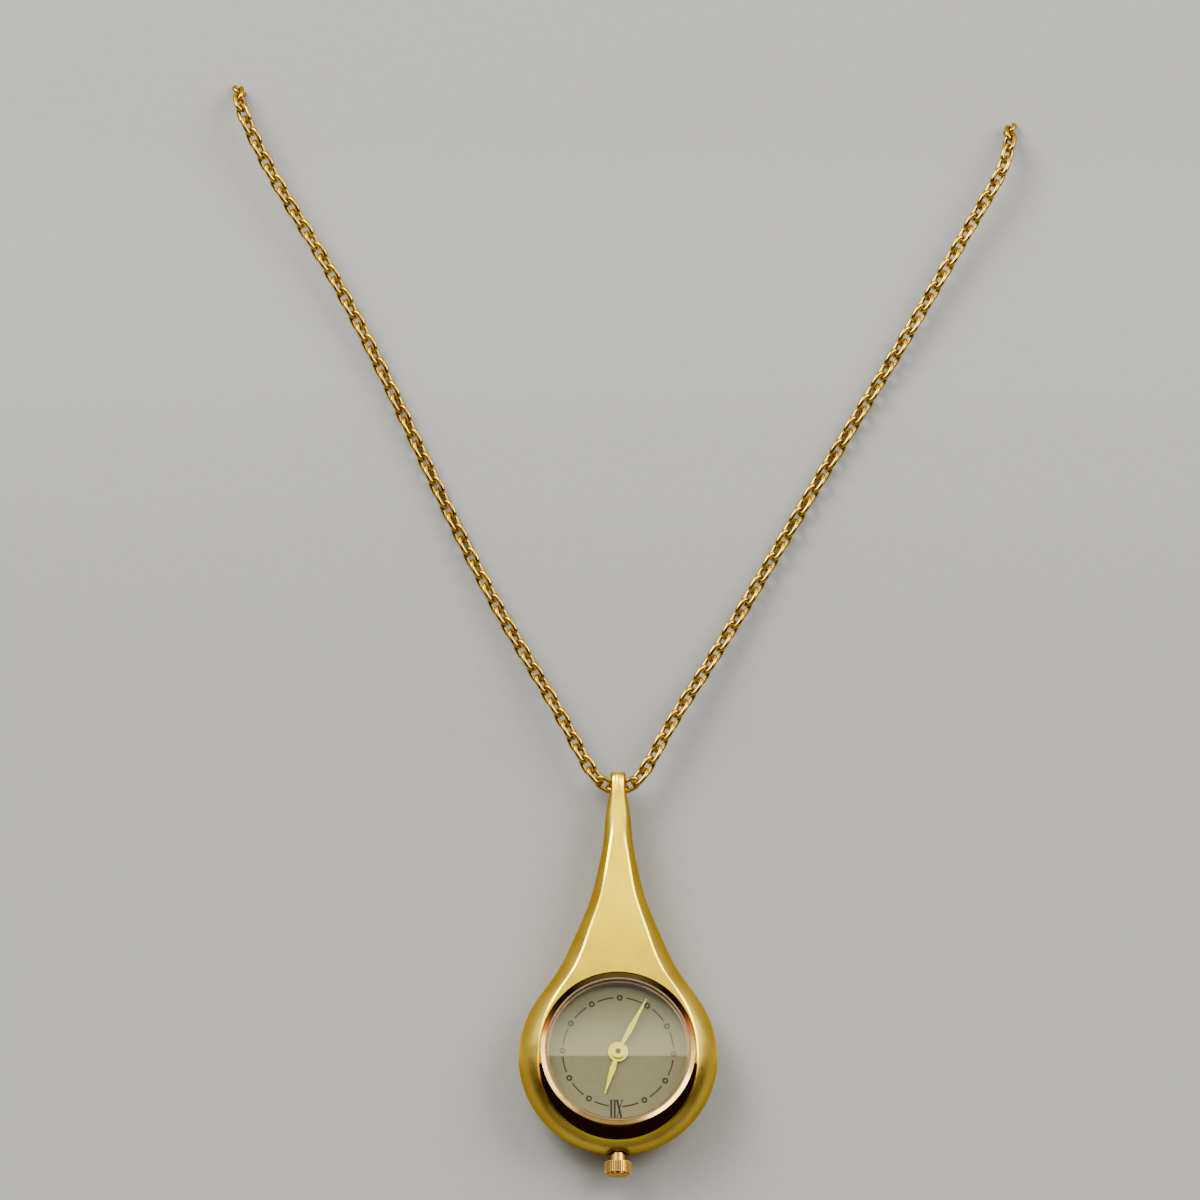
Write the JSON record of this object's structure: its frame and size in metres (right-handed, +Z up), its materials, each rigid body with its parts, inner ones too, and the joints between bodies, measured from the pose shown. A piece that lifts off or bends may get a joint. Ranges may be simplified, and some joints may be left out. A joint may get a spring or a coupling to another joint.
{
  "type": "pendant watch",
  "caption": "Teardrop pendant watch in gold-plated metal, hung by its bail from a cable-link necklace chain with a spring-ring clasp, with hands, crown and quartz movement.",
  "frame": {"origin": "the point where the chain lies over the neck, midway between the two sides of the V, above the bail hole", "axes": "+Z up, +X to the right as the dial is seen from the front, the dial faces -Y and the chain runs back along +Y to the nape"},
  "size_m": [0.1033, 0.1102, 0.1473],
  "materials": {
    "gold_case": "gold plate, satin facets with polished edges",
    "gold_chain": "polished gold plate",
    "gold_crown": "polished gold plate",
    "latch_steel": "gold-plated spring steel",
    "hand_gold": "polished gold plate",
    "glass": "polished flat mineral glass",
    "dial_face": "satin champagne",
    "ring_gold": "polished gold plate",
    "gasket_rubber": "matt black",
    "holder_plastic": "moulded, off-white",
    "plate_brass": "fine satin",
    "wheel_brass": "circular satin",
    "steel": "fine satin",
    "screw_steel": "polished head",
    "coil_copper": "enamelled copper wire",
    "bobbin_plastic": "moulded, black",
    "board_green": "solder mask, green",
    "chip_black": "epoxy blob, black",
    "cell_steel": "button cell can"
  },
  "bodies": {
    "chain": {"chain_front_left": "gold_chain", "chain_front_right": "gold_chain", "chain_back_left": "gold_chain", "chain_back_right": "gold_chain", "jump_rings": "gold_chain", "clasp_ring": "gold_chain", "clasp_spring": "latch_steel"},
    "clasp_bolt": {"clasp_latch": "latch_steel"},
    "watch_head": {"case_body": "gold_case", "bezel": "gold_case", "crystal": "glass", "crystal_gasket": "gasket_rubber", "dial_ring": "ring_gold", "dial": "dial_face", "main_plate": "plate_brass", "movement_holder": "holder_plastic", "train_bridge": "plate_brass", "stator": "steel", "coil_core": "steel", "coil_bobbin": "bobbin_plastic", "coil_winding": "coil_copper", "circuit_board": "board_green", "timing_chip": "chip_black", "oscillator_can": "steel", "battery": "cell_steel", "battery_contact": "steel", "battery_clamp": "steel", "lever_spring": "steel", "lever_spring_screw": "screw_steel", "bridge_screws": "screw_steel", "coil_screws": "screw_steel", "clamp_screws": "screw_steel", "board_screws": "screw_steel", "case_tube": "gold_case", "case_back": "gold_case", "case_back_gasket": "gasket_rubber"},
    "minute_work": {"minute_hand": "hand_gold", "cannon_pinion": "wheel_brass", "centre_wheel": "wheel_brass"},
    "hour_work": {"hour_hand": "hand_gold", "hour_wheel": "wheel_brass"},
    "minute_gear": {"minute_wheel": "wheel_brass"},
    "setting_gear": {"setting_wheel": "steel"},
    "third_gear": {"third_wheel": "wheel_brass"},
    "rotor_gear": {"rotor": "steel"},
    "crown_slider": {"crown_gasket": "gasket_rubber"},
    "crown_stem": {"crown": "gold_crown", "stem": "steel", "clutch_wheel": "steel"},
    "lever": {"setting_lever": "steel"}
  },
  "joints": [
    {"name": "clasp_pull", "type": "hinge", "parent": "chain", "child": "clasp_bolt", "pos_m": [0.00162, 0.104, 0], "axis": [0, -1, 0], "range_deg": [0, 44], "stiffness_Nm_per_rad": 0.0000002, "springref_deg": -20.05},
    {"name": "pendant_swing", "type": "hinge", "parent": "chain", "child": "watch_head", "pos_m": [0, 0, -0.09135], "axis": [-1, 0, 0], "range_deg": [-60, 135]},
    {"name": "minute_turn", "type": "hinge", "parent": "watch_head", "child": "minute_work", "pos_m": [0, 0, -0.12665], "axis": [0, 1, 0], "continuous": true},
    {"name": "hour_turn", "type": "hinge", "parent": "watch_head", "child": "hour_work", "pos_m": [0, 0, -0.12665], "axis": [0, 1, 0], "continuous": true},
    {"name": "minute_gear_turn", "type": "hinge", "parent": "watch_head", "child": "minute_gear", "pos_m": [0.00101, 0, -0.12883], "axis": [0, 1, 0], "continuous": true},
    {"name": "setting_gear_turn", "type": "hinge", "parent": "watch_head", "child": "setting_gear", "pos_m": [0.00145, 0, -0.13129], "axis": [0, 1, 0], "continuous": true},
    {"name": "third_gear_turn", "type": "hinge", "parent": "watch_head", "child": "third_gear", "pos_m": [-0.00247, 0, -0.1278], "axis": [0, 1, 0], "continuous": true},
    {"name": "rotor_turn", "type": "hinge", "parent": "watch_head", "child": "rotor_gear", "pos_m": [-0.00302, 0, -0.12932], "axis": [0, 1, 0], "continuous": true},
    {"name": "crown_pull", "type": "slide", "parent": "watch_head", "child": "crown_slider", "axis": [0, 0, -1], "range_m": [0, 0.0008]},
    {"name": "crown_turn", "type": "hinge", "parent": "crown_slider", "child": "crown_stem", "pos_m": [0, 0.0001, -0.14095], "axis": [0, 0, -1], "continuous": true},
    {"name": "lever_swing", "type": "hinge", "parent": "watch_head", "child": "lever", "pos_m": [0.0022, 0, -0.13325], "axis": [0, -1, 0], "range_deg": [0, 20.61]}
  ],
  "couplings": [
    {"joint": "hour_turn", "follows": "minute_turn", "ratio": 0.083333},
    {"joint": "minute_gear_turn", "follows": "minute_turn", "ratio": -0.33333},
    {"joint": "setting_gear_turn", "follows": "minute_turn", "ratio": 0.85714},
    {"joint": "third_gear_turn", "follows": "minute_turn", "ratio": -7.5},
    {"joint": "rotor_turn", "follows": "minute_turn", "ratio": 60},
    {"joint": "lever_swing", "follows": "crown_pull", "rad_per_m": 449.63}
  ]
}
